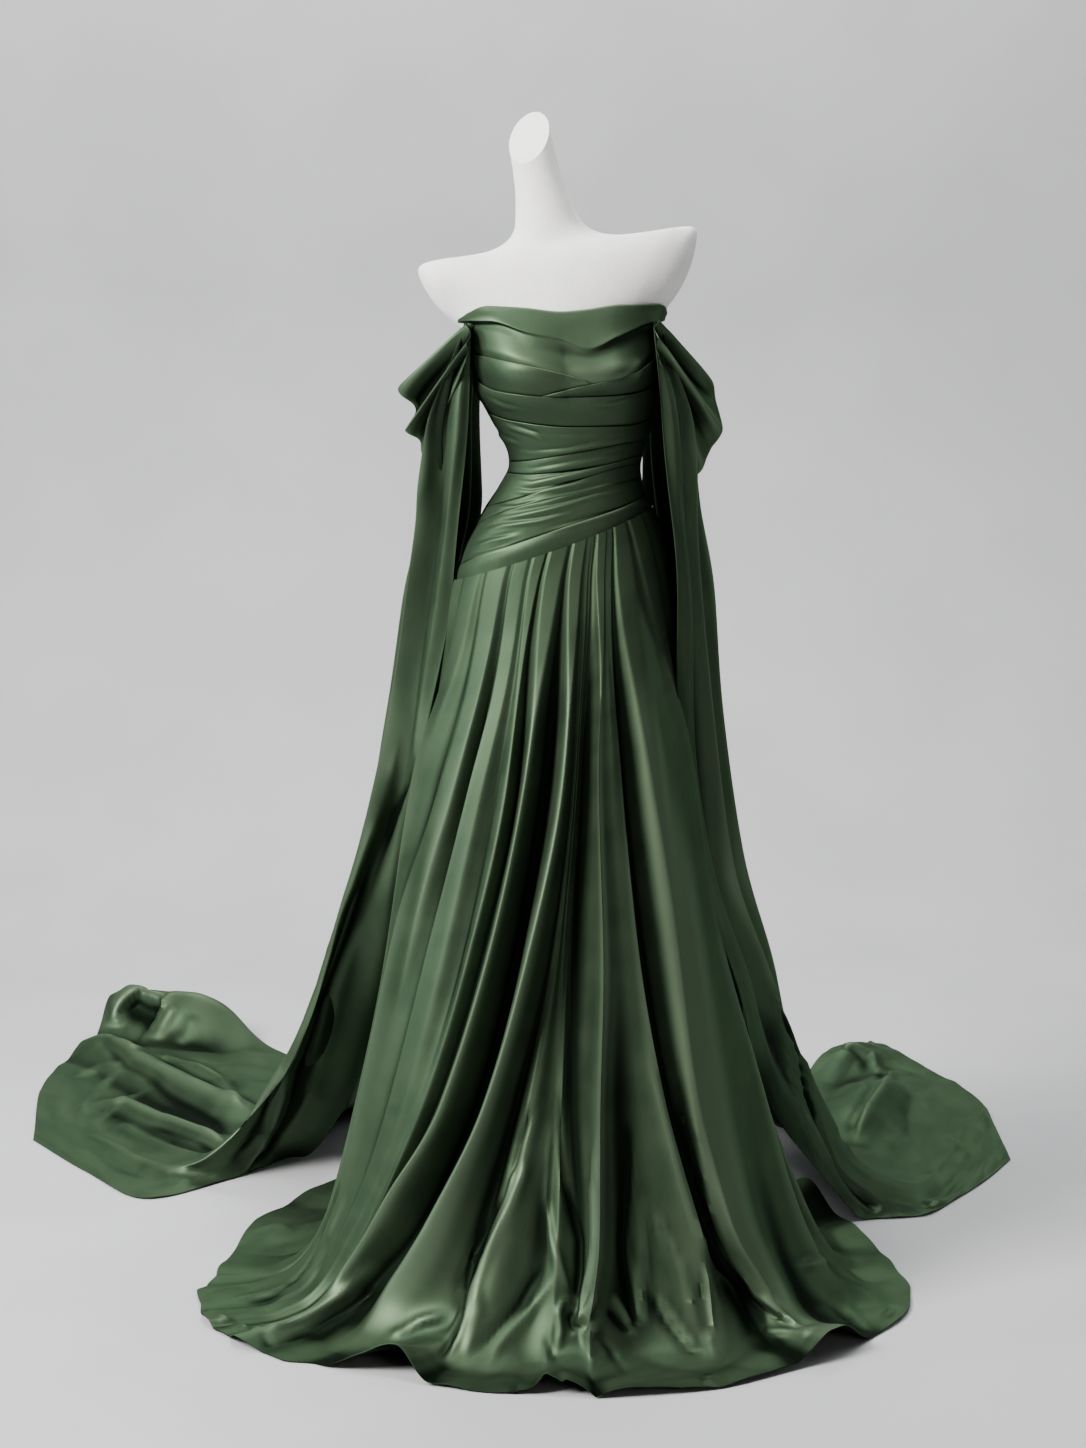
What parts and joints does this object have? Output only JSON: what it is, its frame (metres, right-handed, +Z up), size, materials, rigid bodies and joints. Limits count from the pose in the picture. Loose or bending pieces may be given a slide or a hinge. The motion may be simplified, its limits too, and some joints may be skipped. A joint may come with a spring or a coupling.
{
  "type": "a-line prom dress on a dress form",
  "caption": "Off-shoulder A-line gown with a pleated draped bodice and long trailing cape sleeves, on a limbless dress form and stand.",
  "frame": {"origin": "middle of the stand's base plate, on its underside", "axes": "+Z up; -Y is the gown's front; +X is to the right as seen from the front, the side where the waist seam is higher"},
  "size_m": [1.6771, 1.8583, 1.6672],
  "materials": {
    "green_satin": "heavy dark green satin with a soft sheen",
    "form_shell": "matt warm white, finely grained",
    "stand_steel": "brushed"
  },
  "bodies": {
    "root": {"form_torso": "form_shell", "stand_pole": "stand_steel", "stand_base": "stand_steel", "neckline_cowl": "green_satin", "pleat_1": "green_satin", "pleat_2": "green_satin", "pleat_3": "green_satin", "pleat_4": "green_satin", "pleat_5": "green_satin", "pleat_6": "green_satin", "pleat_7": "green_satin", "pleat_8": "green_satin", "waist_band": "green_satin", "bodice_back_left": "green_satin", "bodice_back_right": "green_satin", "back_lap": "green_satin", "skirt_front": "green_satin", "skirt_side_left": "green_satin", "skirt_side_right": "green_satin", "skirt_back_left": "green_satin", "skirt_back_right": "green_satin", "swag_left": "green_satin", "swag_right": "green_satin", "cape_left": "green_satin", "cape_right": "green_satin"}
  },
  "joints": []
}
